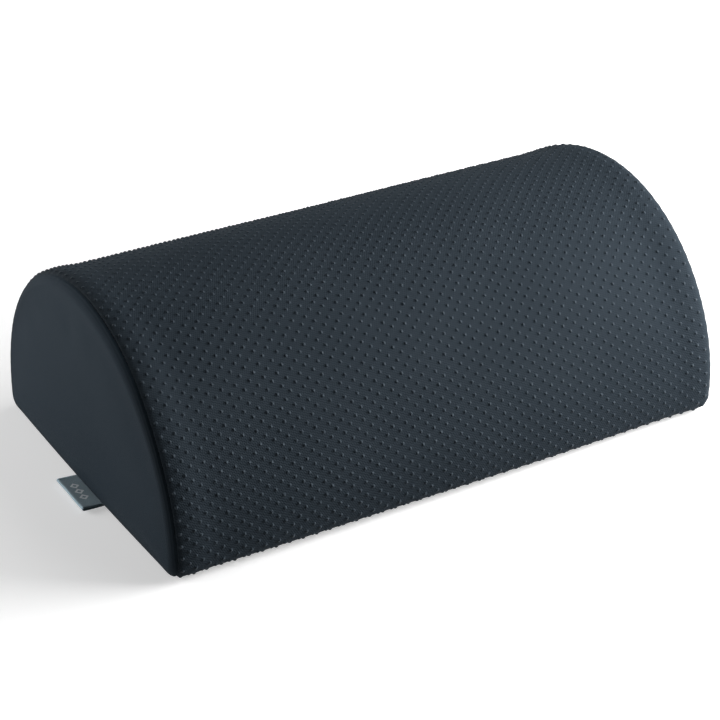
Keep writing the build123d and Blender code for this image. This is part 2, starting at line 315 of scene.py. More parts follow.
# ---- cloth simulation of the whole cover
SIM_STEP = 9.0 * MM
SIM_END = np.linspace(SEAM_W, RIM_END + 0.9 * FACE_REACH, 11)[1:]
SIM_W = np.concatenate([-SIM_END[::-1], steps(-SEAM_W, SEAM_W, SIM_STEP), SIM_END])
SIM_COLUMNS = math.ceil(2 * ROUND_HALF / SIM_STEP)
SIM_CAP = 3.0 * MM
SIM_PRESSURE = 4.0
SIM_FRAMES = 20
RESTS = -0.95  # cloth facing down more than this lies on the base


def simulate_cover():
    """Presses the sewn cover outwards as the foam does, held at its seams and where it rests, and
    returns how far each point of a coarse grid comes to stand off the nominal skin."""
    s = np.arange(SIM_COLUMNS) * 2 * ROUND_HALF / SIM_COLUMNS
    w, s = np.meshgrid(SIM_W, s, indexing="ij")
    rest = skin_points(w, s, 0.0)
    normal = directions(w, s, flat_line)[0]
    rows, columns = w.shape
    mesh = bpy.data.meshes.new("cover_simulation")
    mesh.from_pydata(rest.reshape(-1, 3).tolist(), [], tube_faces(rows, columns))
    cover = put("cover_simulation", mesh)
    at_seam = np.abs(np.abs(w) - SEAM_W) < 0.1 * MM
    at_zip = (np.abs(s - ZIP_BASE_S) < SIM_STEP) & (np.abs(w) < SEAM_W)
    resting = (skin(s)[3] < RESTS) & (np.abs(w) < RIM_END)
    held = cover.vertex_groups.new(name="held")
    held.add(np.flatnonzero((at_seam | at_zip | resting).ravel()).tolist(), 1.0, "REPLACE")
    cloth = cover.modifiers.new("cloth", "CLOTH")
    cloth.settings.use_pressure = True
    cloth.settings.uniform_pressure_force = SIM_PRESSURE
    cloth.settings.effector_weights.gravity = 0.0
    cloth.settings.vertex_group_mass = "held"
    cloth.point_cache.frame_end = SIM_FRAMES
    for number in range(1, SIM_FRAMES + 1):
        bpy.context.scene.frame_set(number)
    seen = cover.evaluated_get(bpy.context.evaluated_depsgraph_get())
    moved = np.empty(rows * columns * 3)
    seen.data.vertices.foreach_get("co", moved)
    moved = moved.reshape(rows, columns, 3)
    bpy.context.scene.frame_set(1)
    bpy.data.objects.remove(cover)
    off = np.maximum(((moved - rest) * normal).sum(-1), 0)
    off = SIM_CAP * np.tanh(off / SIM_CAP)
    return (np.roll(off, 1, 1) + 2 * off + np.roll(off, -1, 1)) / 4


SWELL = simulate_cover()


def cubic_weights(t):
    """Weights of the four nearest values in smooth interpolation."""
    return np.stack([-t + 2 * t ** 2 - t ** 3, 2 - 5 * t ** 2 + 3 * t ** 3,
                     t + 4 * t ** 2 - 3 * t ** 3, -t ** 2 + t ** 3]) / 2


def swell(w, s):
    """The simulated stand-off at any point of the skin."""
    w, s = np.broadcast_arrays(w, s)
    row = np.interp(w, SIM_W, np.arange(len(SIM_W)))
    column = np.mod(s, 2 * ROUND_HALF) * SIM_COLUMNS / (2 * ROUND_HALF)
    i, j = np.floor(row).astype(int), np.floor(column).astype(int)
    across, round_ = cubic_weights(row - i), cubic_weights(column - j)
    total = np.zeros(w.shape)
    for a in range(4):
        near = SWELL[np.clip(i + a - 1, 0, len(SIM_W) - 1)[..., None],
                     np.mod(j[..., None] + np.arange(-1, 3), SIM_COLUMNS)]
        total += across[a] * (near * np.moveaxis(round_, 0, -1)).sum(-1)
    return total


# ---- shape of the stuffed cover
def waviness(w, s):
    """Slow unevenness of a soft cover, well under a millimetre."""
    a = np.sin(w / 0.031 + 1.3 * np.sin(s / 0.052) + 0.4) * np.sin(s / 0.043 + 1.9)
    b = np.sin(w / 0.083 - 0.7) * np.cos(s / 0.095 + 0.8 * np.sin(w / 0.07))
    return WAVE_FINE * a + WAVE_SLOW * b


def seam_pull(distance, depth, reach):
    """Cloth drawn down beside a seam: full depth at the seam, nothing beyond reach."""
    t = np.clip(1 - distance / reach, 0, 1)
    return -depth * t ** 2.4


def body_shape(w, s):
    """How the stuffed cover stands off its nominal skin between the end seams."""
    to_end = SEAM_W - np.abs(w)
    _, z, _, nz = skin(s)
    back = smooth((nz + 0.35) / 0.7)
    proud = PROUD * hump(to_end - PROUD_AT, PROUD_WIDE) * (0.35 + 0.65 * back)
    belly = BELLY * (1 - np.clip(np.abs(w) / HALF, 0, 1) ** 2) * hump(z - BELLY_Z, BELLY_WIDE)
    belly = belly * smooth((nz + 0.9) / 0.6)
    return proud + belly + SWELL_BACK * swell(w, s) + waviness(w, s)


def pucker(w, s, seed):
    """Small gathers along an end seam, fading into the panel."""
    to_end = np.abs(SEAM_W - np.abs(w))
    phase = 0.8 * np.sin(s / 0.021 + seed) + 0.5 * np.sin(s / 0.0087 + 2 * seed)
    wave = np.cos(2 * math.pi * s / (2 * DOT_ROW) + phase)
    return PUCKER * wave * hump(to_end, PUCKER_WIDE)


def floor_lift(nz):
    """The underside of the dotted cloth stands off the floor by its dots."""
    return -DOT_H * smooth((-nz - 0.55) / 0.4)


def draw_down(h, w, from_zip, from_front, end_depth, front_depth):
    """Stand-off h drawn down beside a panel's end seams, front seam, zip opening and rear seams."""
    past_slot = np.maximum(np.abs(w) - SLOT_HALF, 0)
    to_slot = np.hypot(past_slot, np.maximum(from_zip - SLOT_W / 2, 0))
    to_rear = np.where(past_slot > 0, from_zip, 1.0)
    h = h + seam_pull(SEAM_W - np.abs(w), end_depth, DIP_END_WIDE)
    h = h + seam_pull(from_front, front_depth, DIP_WIDE)
    return h + seam_pull(to_slot, DIP_ZIP, DIP_ZIP_WIDE) + seam_pull(to_rear, DIP_ZIP, DIP_REAR_WIDE)


def top_height(w, s):
    """Stand-off of the dotted panel without its dots."""
    h = body_shape(w, s) + pucker(w, s, 1.0) + floor_lift(skin(s)[3])
    h = np.where(s < 0, h * smooth((s - ZIP_S - ZIP_FLAT) / ZIP_EASE), h)
    return draw_down(h, w, s - ZIP_S, BASE_SEAM_S - s, DIP_END, DIP_FRONT)


def base_height(w, s):
    """Stand-off of the base panel: flat on the floor, lifted a little beside the front seam."""
    h = body_shape(w, s) * smooth((ZIP_BASE_S - ZIP_FLAT - s) / ZIP_EASE)
    h = h * smooth((s - BASE_SEAM_S) / BASE_EASE)
    h = np.where(skin(s)[3] < -0.5, np.minimum(h, 0.0), h)
    h = h - DOT_H * (1 - smooth((s - BASE_SEAM_S) / BASE_LIFT_WIDE))
    return draw_down(h, w, ZIP_BASE_S - s, s - BASE_SEAM_S, DIP_BASE_END, DIP_BASE)


def end_height(w, s):
    """Stand-off of an end panel: crowned, with fine tension ribs beside its seam."""
    from_seam = np.abs(w) - SEAM_W
    place = skin_points(w, s, 0.0)
    y, z = place[..., 1], place[..., 2]
    above = smooth((z - 0.004) / 0.03)
    ribs = RIB * np.cos(2 * math.pi * from_seam / RIB_PITCH) * hump(from_seam, RIB_WIDE)
    slow = WAVE_END * np.sin(y / 0.037 + 0.5) * np.sin(z / 0.028) * smooth(from_seam / 0.02)
    h = SWELL_END * swell(w, s) + (ribs + slow) * above + 0.4 * pucker(w, s, 2.0) * above
    low = hump(z, BOW_Z) * smooth(from_seam / 0.006)
    h = h + np.where(w < 0, BOW_LEFT, BOW_RIGHT) * low * (1 - (y / ARC_R) ** 2)
    return h + seam_pull(from_seam, DIP_END, DIP_FACE_WIDE)


def cover_height(w, s):
    """Stand-off of whichever panel lies beside the zip."""
    round_base = 2 * ROUND_HALF + np.minimum(s, ZIP_S)
    return np.where(s >= ZIP_S, top_height(w, np.maximum(s, ZIP_S)), base_height(w, round_base))


# ---- panels between the end seams, each from the zip (s = near) to the seam under the front
def panel_outline(near, slot, edge):
    """Corners of a panel's outline in cloth coordinates, anticlockwise, with the zip's notch in its
    near side up to slot. A panel on the far side of the front seam is given reversed."""
    end = SEAM_W - edge
    toward = np.sign(BASE_SEAM_S - near)
    near, far = near + toward * edge, BASE_SEAM_S - toward * edge
    corners = [(-end, near), (-SLOT_HALF, near), (-SLOT_HALF, slot), (SLOT_HALF, slot),
               (SLOT_HALF, near), (end, near), (end, far), (-end, far)]
    return corners if toward > 0 else corners[::-1]


def walk(corners, pitch):
    """Points along a closed outline, no further apart than pitch."""
    out = []
    for a, b in zip(corners, corners[1:] + corners[:1]):
        n = max(1, math.ceil(math.dist(a, b) / pitch))
        for k in range(n):
            out.append((a[0] + (b[0] - a[0]) * k / n, a[1] + (b[1] - a[1]) * k / n))
    return np.array(out)


def strips(near, slot, gaps, pitch):
    """Points that follow a panel's outline at these distances inside it, in millimetres."""
    inward = np.sign(BASE_SEAM_S - near) * MM
    return [walk(panel_outline(near, slot + inward * gap, EDGE + gap * MM), pitch) for gap in gaps]


def triangulate(border, inner, notch):
    """Triangles of a panel with this border, through these inner points: cloth coordinates, faces,
    and for each point the number of the given point that it is. notch is the zip's, as two s."""
    points = np.concatenate([border, inner]) / MM
    n = len(border)
    edges = [(i, (i + 1) % n) for i in range(n)]
    out = delaunay_2d_cdt([Vector(p) for p in points.tolist()], edges, [], 1, 1e-5, True)
    flat = np.array([tuple(v) for v in out[0]]) * MM
    faces = np.array(out[2])
    w, s = flat[faces].mean(1).T
    in_notch = (np.abs(w) < SLOT_HALF) & (s > min(notch)) & (s < max(notch))
    return flat, faces[~in_notch], np.array([ids[0] for ids in out[3]])


def closed_skin(border, inner, own, back_inner, notch, height):
    """A panel as one closed skin: its face, a plain back, and the cut edge between them. own holds
    each inner point's own height, slopes and dot share. Returns points, faces, cloth, own, normals."""
    cloth, front_faces, source = triangulate(border, inner, notch)
    own = np.concatenate([np.zeros((len(border), own.shape[1])), own])[source]
    w, s = cloth.T
    points = skin_points(w, s, height(w, s) + own[:, 0])
    normal, along, round_ = directions(w, s, height)
    normal = normal - own[:, 1:2] * along - own[:, 2:3] * round_
    normal = unit(normal)
    back_cloth, back_faces, back_source = triangulate(border, back_inner, notch)
    bw, bs = back_cloth.T
    back = skin_points(bw, bs, np.minimum(height(bw, bs), BACK_EASE) - FABRIC)
    n = len(points)
    faces = front_faces[:, ::-1].tolist() + (back_faces + n).tolist()
    front_of = {k: i for i, k in enumerate(source.tolist())}
    back_of = {k: n + i for i, k in enumerate(back_source.tolist())}
    for i in range(len(border)):
        j = (i + 1) % len(border)
        faces.append((front_of[i], front_of[j], back_of[j], back_of[i]))
    normals = np.concatenate([normal, -directions(bw, bs, height)[0]])
    own = np.concatenate([own, np.zeros((len(back), own.shape[1]))])
    return np.concatenate([points, back]), faces, np.concatenate([cloth, back_cloth]), own, normals


def inside(points, near, slot, margin):
    """Which points lie inside a panel's outline by at least margin."""
    w, s = points[:, 0], points[:, 1]
    low, high = min(near, BASE_SEAM_S) + margin, max(near, BASE_SEAM_S) - margin
    beside_zip = np.abs(w) < SLOT_HALF + margin
    clear = s > slot + margin if near < BASE_SEAM_S else s < slot - margin
    return (np.abs(w) < SEAM_W - margin) & (s > low) & (s < high) & (clear | ~beside_zip)


def lattice(near, from_near, from_front, pitch_w, pitch_s):
    """Evenly spread points of a panel, at these distances from its zip side and front seam."""
    toward = np.sign(BASE_SEAM_S - near)
    low, high = sorted((near + toward * from_near, BASE_SEAM_S - toward * from_front))
    w, s = np.meshgrid(steps(-SEAM_W, SEAM_W, pitch_w), steps(low, high, pitch_s))
    return np.stack([w.ravel(), s.ravel()], -1)


def thin_out(rows, gap):
    """Drops plain points that crowd a dot's own points or each other."""
    cell = np.floor(rows[:, :2] / gap).astype(int)
    own = np.abs(rows[:, 2:]).sum(1) > 0
    taken = {tuple(c) for c in cell[own]}
    around = [(i, j) for i in (-1, 0, 1) for j in (-1, 0, 1)]
    keep, seen = own.copy(), set()
    for i in np.flatnonzero(~own):
        c = tuple(cell[i])
        keep[i] = c not in seen and not any((c[0] + a, c[1] + b) in taken for a, b in around)
        seen.add(c)
    return rows[keep]


def dot_centres(s_low, s_high):
    """Staggered dots of the knit: every other row is shifted by half a pitch, rows wander a little
    and every dot is slightly off its place."""
    w_low, w_high = -SEAM_W + FIRST_DOT, SEAM_W - LAST_DOT
    found = []
    for i, s in enumerate(np.arange(s_low, s_high, DOT_ROW)):
        w = np.arange(w_low + (i % 2) * DOT_PITCH / 2, w_high, DOT_PITCH)
        found.append(np.stack([w, np.full_like(w, s)], -1))
    dots = np.concatenate(found)
    w, s = dots.T
    drift = np.stack([DOT_DRIFT[0] * np.sin(s / 0.037 + np.sin(w / 0.09)),
                      DOT_DRIFT[1] * np.sin(w / 0.045 + 0.6)], -1)
    return dots + drift + rng.normal(0, DOT_STRAY, dots.shape)


def ring(radius, count, offset):
    a = offset + np.arange(count) * 2 * math.pi / count
    return np.stack([radius * np.cos(a), radius * np.sin(a)], -1)


def dot_points(dots):
    """Every dot's own points, as rows of (w, s, height, slope w, slope s, share of full height)."""
    size = rng.normal(1.0, DOT_UNEVEN, len(dots)).clip(0.7, 1.2)
    rows = []
    for radius, count, start, height, slope in DOT_SHAPE:
        offsets = ring(radius * DOT_R, count, start) if count > 1 else np.zeros((1, 2))
        outward = offsets / max(radius * DOT_R, 1e-9)
        place = (dots[:, None] + offsets[None]).reshape(-1, 2)
        high = np.repeat(size * height * DOT_H, count)
        lean = np.tile(outward * slope, (len(dots), 1)) * np.repeat(size, count)[:, None]
        rows.append(np.column_stack([place, high, lean, np.full(len(place), height)]))
    return np.concatenate(rows)


def plain(parts):
    """Points of the ground between the dots, with no height or slope of their own."""
    return np.pad(np.concatenate(parts), ((0, 0), (0, 4)))


def panel_skin(near, slot, height, pitch, inner, margin, gap):
    """A panel with a border of this pitch, the inner points that lie this margin inside it and this
    gap apart, and a coarser back."""
    border = walk(panel_outline(near, slot, EDGE), pitch)
    inner = thin_out(inner[inside(inner, near, slot, EDGE + margin)], gap)
    back = lattice(near, 10 * MM, 5 * MM, 9 * MM, 7 * MM)
    back = back[inside(back, near, slot, 3 * MM)]
    return closed_skin(border, inner[:, :2], inner[:, 2:], back, (near, slot), height)


def build_top_panel(material):
    """The dotted knit over the round back: the dots are domes of the cloth itself."""
    slot = ZIP_S + SLOT_W / 2
    dots = dot_centres(slot + DOTS_TO_ZIP, BASE_SEAM_S - DOTS_TO_FRONT)
    ground = [dots + (DOT_PITCH / 2, 0), dots + (0, DOT_ROW), dots + (DOT_PITCH / 4, DOT_ROW / 2),
              dots + (DOT_PITCH / 4, -DOT_ROW / 2)]
    ground += strips(ZIP_S, slot, (0.5, 1.0, 1.6, 2.4, 3.3), 2.6 * MM)
    inner = np.concatenate([dot_points(dots), plain(ground)])
    points, faces, cloth, own, normals = panel_skin(ZIP_S, slot, top_height, 2.4 * MM, inner,
                                                    0.3 * MM, 0.75 * MM)
    w, s = cloth.T
    # painted shade: a dark band on the dotted cloth beside the left end seam, weaker lower down round the
    # back
    pressed_and_painted_shade = 0.65 * hump(SEAM_W + w - 2 * MM, 4.5 * MM)
    pressed_and_painted_shade = pressed_and_painted_shade * (1 - 0.6 * smooth((from_top(s) - 0.07) / 0.06))
    piece = make_piece("dotted_cover", "cover_top_panel", points, faces, material, "dotted_knit",
                       {"cloth": plane(cloth), "dot": own[:, 3], "pressed_and_painted_shade": pressed_and_painted_shade}, normals)


def build_base_panel(material):
    """The plain knit under the pillow, up the rear side as far as the zip."""
    slot = ZIP_BASE_S - SLOT_W / 2
    ground = [lattice(ZIP_BASE_S, 4 * MM, 4 * MM, 6 * MM, 4.5 * MM)]
    ground += strips(ZIP_BASE_S, slot, (0.7, 1.5, 2.4), 3.0 * MM)
    points, faces, cloth, _, normals = panel_skin(ZIP_BASE_S, slot, base_height, 3.0 * MM, plain(ground),
                                                  0.4 * MM, 0.5 * MM)
    piece = make_piece("base_cover", "cover_base_panel", points, faces, material, "base_knit",
                       {"cloth": plane(cloth)}, normals)


def loops(w, s, h):
    """Points of closed rings round the section, one for each w."""
    return skin_points(w[:, None], s[None, :], h).reshape(-1, 3)


def build_end_panel(side, name, node, material):
    """Half-round end panel: crowned face, turned over the rim as far as its seam."""
    s = np.linspace(-ROUND_HALF, ROUND_HALF, 281)[:-1]
    w = side * np.concatenate([SEAM_W + EDGE + np.array([0, 0.35, 0.8, 1.3, 1.8, 2.3]) * MM,
                               steps(SEAM_W + 3.1 * MM, RIM_END + 4 * MM, 0.55 * MM),
                               steps(RIM_END + 8 * MM, FACE_CAP, 5 * MM)])
    high = end_height(w[:, None], s[None, :])
    front = loops(w, s, high)
    back = loops(w, s, np.minimum(high, BACK_EASE) - FABRIC)
    rows, columns, n = len(w), len(s), len(front)
    flip = side < 0
    faces = grid_faces(rows, columns, closed=True, flip=flip).tolist()
    faces += (grid_faces(rows, columns, closed=True, flip=not flip) + n).tolist()
    ring_ids = np.arange(columns)
    middle = (rows - 1) * columns + ring_ids
    faces += [middle.tolist() if side > 0 else middle[::-1].tolist()]
    faces += [(middle[::-1] + n).tolist() if side > 0 else (middle + n).tolist()]
    nxt = (ring_ids + 1) % columns
    edge = np.stack([nxt, ring_ids, ring_ids + n, nxt + n], -1)
    faces += (edge[:, ::-1] if flip else edge).tolist()
    across = np.concatenate([front, back])[:, 1:]
    # painted shade: the end panels are darker beside their seams, more so further round from the top
    pressed_and_painted_shade = hump(np.abs(w) - SEAM_W, 7.5 * MM)[:, None] * smooth((from_top(s) - 0.06) / 0.07)
    piece = make_piece(name, node, np.concatenate([front, back]), faces, material, "end_knit",
                       {"cloth": plane(across), "pressed_and_painted_shade": np.tile(pressed_and_painted_shade.ravel(), 2)})


def build_foam(material):
    """The foam block that fills the cover, pressed in where the zip lies on it."""
    s = np.linspace(-ROUND_HALF, ROUND_HALF, 147)[:-1]
    end = np.concatenate([steps(FLAT_HALF, RIM_END, 2 * MM)[1:-1], steps(RIM_END, FACE_CAP, 8 * MM)])
    w = np.concatenate([-end[::-1], steps(-FLAT_HALF, FLAT_HALF, 8 * MM), end])
    from_zip = np.abs(s - ZIP_S)[None, :]
    pressed_and_painted_shade = ZIP_PRESS * (1 - smooth((from_zip - 0.012) / 0.005))
    pressed_and_painted_shade = pressed_and_painted_shade * (1 - smooth((np.abs(w)[:, None] - TAPE_HALF) / 0.005))
    points = loops(w, s, -FABRIC - FOAM_EASE - pressed_and_painted_shade)
    piece = make_piece("foam_block", "foam_core", points, tube_faces(len(w), len(s)), material, "foam")


# ---- seams and stitches
def stitch_row(w, s, depth, height=flat_line, wide=THREAD_R, high=THREAD_R, arch=0.3 * MM):
    """A row of separate stitches through points (w, s) of a line. Each one arches out of the cloth."""
    steps_along = np.hypot(np.diff(w), np.diff(s))
    place = np.concatenate([[0], np.cumsum(steps_along)])
    count = int(place[-1] / STITCH_PITCH)
    share = np.array([0.08, 0.2, 0.5, 0.8, 0.92])
    at = (np.arange(count)[:, None] + share) * place[-1] / count
    ws, ss = np.interp(at, place, w), np.interp(at, place, s)
    lift = arch * np.sin(np.pi * share) ** 0.5 - arch
    points = skin_points(ws, ss, height(ws, ss) + depth + lift)
    normal = directions(ws, ss, flat_line)[0]
    return tubes(points, normal, wide, high, 6, [0.45, 0.9, 1.0, 0.9, 0.45])


def join(parts):
    """Several (points, faces) as one."""
    points, faces, n = [], [], 0
    for some_points, some_faces in parts:
        points.append(some_points)
        faces += [[n + i for i in f] for f in some_faces]
        n += len(some_points)
    return np.concatenate(points), faces


def sew(name, node, row, material):
    make_piece(name + "_stitches", node, *row, material, "sewing_thread")


def build_seams(material):
    """Thread down in the creases of the end seams, the base seam and the short rear seams."""
    s = np.linspace(-ROUND_HALF, ROUND_HALF, 400)
    for side, name in ((-1, "seam_thread_left"), (1, "seam_thread_right")):
        sew(name, name, stitch_row(np.full_like(s, side * SEAM_W), s, -UNDER_SEAM - 0.5 * MM), material)
    reach = SEAM_W - 3 * MM
    row = stitch_row(np.array([-reach, reach]), np.full(2, BASE_SEAM_S), -UNDER_SEAM - 0.6 * MM)
    sew("seam_thread_base", "seam_thread_base", row, material)
    rows = []
    for side in (-1, 1):
        ends = side * np.array([SLOT_HALF + 0.5 * MM, FLAT_HALF])
        rows.append(stitch_row(ends, np.full(2, ZIP_S), -UNDER_SEAM))
    sew("seam_thread_rear", "seam_thread_rear", join(rows), material)


def build_topstitching(material):
    """Topstitching above and below the zip, and the dense tacks at both ends of the opening."""
    reach = SLOT_HALF + 1 * MM
    for side, name in ((1, "zip_stitching_upper"), (-1, "zip_stitching_lower")):
        line = ZIP_S + side * (SLOT_W / 2 + STITCH_OFF)
        row = stitch_row(np.array([-reach, reach]), np.full(2, line), 0.12 * MM, cover_height,
                         0.3 * MM, 0.2 * MM, 0.45 * MM)
        sew(name, name, row, material)
    tacks = []
    for side in (-1, 1):
        k = np.arange(TACK_TURNS + 1)
        w = side * (SLOT_HALF + np.where(k % 2 == 0, 0.6, 3.0) * MM)
        s = ZIP_S + (k / TACK_TURNS - 0.5) * SLOT_W
        points = skin_points(w, s, cover_height(w, s) + 0.25 * MM)
        normal = directions(w, s, flat_line)[0]
        tacks.append(tubes(points[None], normal[None], 0.26 * MM, 0.22 * MM, 6, np.ones(len(k))))
    sew("zip_bartack", "zip_bartacks", join(tacks), material)


# ---- zip
def build_tape(side, name, material):
    """Woven tape of one half of the zip, beaded at its centre edge, reaching to under the cover."""
    w = steps(-TAPE_HALF, TAPE_HALF, 6 * MM)
    s = ZIP_S + side * steps(TAPE_GAP, TAPE_GAP + TAPE_W, 1.6 * MM)
    w, s = np.meshgrid(w, s[::side], indexing="ij")
    bead = 0.18 * MM * hump(np.abs(s - ZIP_S) - TAPE_GAP - 0.3 * MM, 0.5 * MM)
    front = skin_points(w, s, -TAPE_DEPTH - 0.05 * MM).reshape(-1, 3)
    back = skin_points(w, s, -TAPE_DEPTH - TAPE_T - bead).reshape(-1, 3)
    cloth = np.stack([w.ravel(), s.ravel()], -1)
    piece = make_piece(name + "_woven", name, np.concatenate([front, back]), two_sided(*w.shape, False),
                       material, "zip_tape", {"cloth": plane(np.concatenate([cloth, cloth]))})


def build_coil(side, name, material):
    """One row of coil: a flattened helix of monofilament sewn along its tape."""
    turns = int(2 * ROW_HALF / COIL_PITCH)
    a = np.linspace(0, 2 * math.pi * turns, 10 * turns + 1)
    w = -ROW_HALF + 0.3 * MM + (2 * ROW_HALF - 0.6 * MM) * a / a[-1]
    s = ZIP_S + side * (COIL_OFF + COIL_WIDE * np.cos(a))
    h = -COIL_DEPTH + COIL_HIGH * np.sin(a)
    points = skin_points(w, s, h)
    along = np.tile([1.0, 0.0, 0.0], (len(w), 1))
    row = tubes(points[None], along[None], COIL_WIRE, COIL_WIRE, 5, np.ones(len(w)))
    make_piece(name + "_helix", name, *row, material, "zip_coil")


def finish_cad(material, *nodes):
    """Gives carried-over CAD nodes their material and a fine bevel."""
    for node in nodes:
        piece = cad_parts[node]
        piece.data.materials.clear()
        piece.data.materials.append(material)
        weld = piece.modifiers.new("weld", "WELD")
        weld.merge_threshold = 1e-6
        bevel = piece.modifiers.new("bevel", "BEVEL")
        bevel.width = 0.12 * MM
        bevel.segments = 2
        bevel.limit_method = "ANGLE"
        bevel.harden_normals = True


# ---- label
def build_label():
    """Woven ribbon folded into a flat loop, curling a little away from the floor at its free edge."""
    fold = LABEL_TIP - LABEL_FOLD_R - LABEL_T / 2
    low_z, seam_z = 1.1 * MM, 1.55 * MM
    run = steps(LABEL_ROOT, fold, 1.2 * MM)
    share = (run - LABEL_ROOT) / (fold - LABEL_ROOT)
    low = np.stack([run, seam_z - 0.5 * MM + (low_z - seam_z + 0.5 * MM) * smooth(share)], -1)
    high = low[::-1].copy()
    high[:, 1] = seam_z + 0.55 * MM + (low_z + 2 * LABEL_FOLD_R - seam_z - 0.55 * MM) * share[::-1] ** 0.7
    a = np.linspace(-math.pi / 2, math.pi / 2, 9)[1:-1]
    bend = np.stack([fold + LABEL_FOLD_R * np.cos(a), low_z + LABEL_FOLD_R + LABEL_FOLD_R * np.sin(a)], -1)
    line = np.concatenate([low, bend, high])
    tangent = unit(np.gradient(line, axis=0))
    outward = np.stack([tangent[:, 1], -tangent[:, 0]], -1)
    length = np.concatenate([[0], np.cumsum(np.linalg.norm(np.diff(line, axis=0), axis=1))])
    across = steps(LABEL_Y0, LABEL_Y1, 1.5 * MM)
    free = ((line[:, 0] - LABEL_ROOT) / (LABEL_TIP - LABEL_ROOT))[:, None]
    middle = ((across - (LABEL_Y0 + LABEL_Y1) / 2) / (LABEL_Y1 - LABEL_Y0))[None, :]
    curl = free ** 2 * (0.5 * MM * (2 * middle) ** 2 + 0.35 * MM * (1 + np.sin(7 * middle + 1)))
    layers = []
    for shift in (LABEL_T / 2, -LABEL_T / 2):
        moved = line + shift * outward
        x = np.broadcast_to(-moved[:, :1], curl.shape)
        y = np.broadcast_to(across[None, :], curl.shape)
        layers.append(np.stack([x, y, moved[:, 1:2] + curl], -1).reshape(-1, 3))
    cloth = np.stack(np.broadcast_arrays(length[:, None], (across - LABEL_Y0)[None, :]), -1).reshape(-1, 2)
    full = float(length[-1])
    piece = make_piece("loop_label", "woven_label", np.concatenate(layers), two_sided(*curl.shape, True),
                       ribbon_material(full), "label_ribbon",
                       {"cloth": plane(np.concatenate([cloth, cloth]))})


# ---- materials
MIX_A, MIX_B, MIX_RESULT = 6, 7, 2  # colour sockets of a Mix node


class Shade:
    """Small helper to write a node material line by line."""

    def __init__(self, name):
        self.material = bpy.data.materials.new(name)
        self.material.use_nodes = True
        self.tree = self.material.node_tree
        self.shader = self.tree.nodes["Principled BSDF"]

    def node(self, kind, **values):
        made = self.tree.nodes.new("ShaderNode" + kind)
        for key, value in values.items():
            setattr(made, key, value)
        return made

    def link(self, value, socket):
        if isinstance(value, bpy.types.NodeSocket):
            self.tree.links.new(value, socket)
        else:
            socket.default_value = value

    def feed(self, made, *first, **named):
        """Links or sets inputs of a node: the first ones in their order, others by name."""
        for value, socket in zip(first, made.inputs):
            self.link(value, socket)
        for key, value in named.items():
            self.link(value, made.inputs[key.replace("_", " ")])
        return made

    def math(self, operation, a, b=0.0):
        return self.feed(self.node("Math", operation=operation), a, b).outputs[0]

    def add(self, a, b):
        return self.math("ADD", a, b)

    def minus(self, a, b):
        return self.math("SUBTRACT", a, b)

    def times(self, a, b):
        return self.math("MULTIPLY", a, b)

    def wave(self, value, period):
        return self.math("SINE", self.times(value, 2 * math.pi / period))

    def place(self):
        return self.node("TexCoord").outputs["Object"]

    def attribute(self, name):
        return self.node("Attribute", attribute_name=name)

    def noise(self, coordinates, scale, detail=2.0, rough=0.5):
        made = self.node("TexNoise")
        return self.feed(made, Vector=coordinates, Scale=scale, Detail=detail, Roughness=rough).outputs["Fac"]

    def span(self, value, low, high, to_low, to_high):
        return self.feed(self.node("MapRange"), value, low, high, to_low, to_high).outputs[0]

    def mix(self, factor, a, b):
        made = self.feed(self.node("Mix", data_type="RGBA"), factor)
        self.link(a, made.inputs[MIX_A])
        self.link(b, made.inputs[MIX_B])
        return made.outputs[MIX_RESULT]

    def bump(self, height, distance, strength=1.0):
        return self.feed(self.node("Bump"), Strength=strength, Distance=distance, Height=height).outputs[0]

    def set(self, **values):
        self.feed(self.shader, **values)
        return self.material


def rgb(red, green, blue):
    return (red, green, blue, 1.0)


FIBRE_SHEEN, FIBRE_TINT = 0.02, rgb(0.66, 0.86, 1.0)  # of every dark fibre


def split_cloth(m):
    """The running cloth coordinates, in metres, and the same as two numbers."""
    cloth = m.attribute("cloth").outputs["Vector"]
    split = m.feed(m.node("SeparateXYZ"), cloth)
    return cloth, split.outputs[0], split.outputs[1]


def knit_height(m, along, around, wale, course):
    """Interlocked V stitches: two slanted legs to each wale, repeated every course."""
    leg = m.math("PINGPONG", m.times(along, 1 / wale), 0.5)
    slant = m.add(m.times(around, 1 / course), leg)
    bead = m.wave(slant, 1)
    ridge = m.wave(leg, 1)
    return m.add(m.times(bead, 0.45), m.times(ridge, 0.55))


def turned(m, along, around, lie):
    """Cloth coordinates across and along the lines of stitches, which lie at an angle to the length."""
    c, s = math.cos(lie), math.sin(lie)
    across = m.minus(m.times(around, c), m.times(along, s))
    forward = m.add(m.times(around, s), m.times(along, c))
    return across, forward


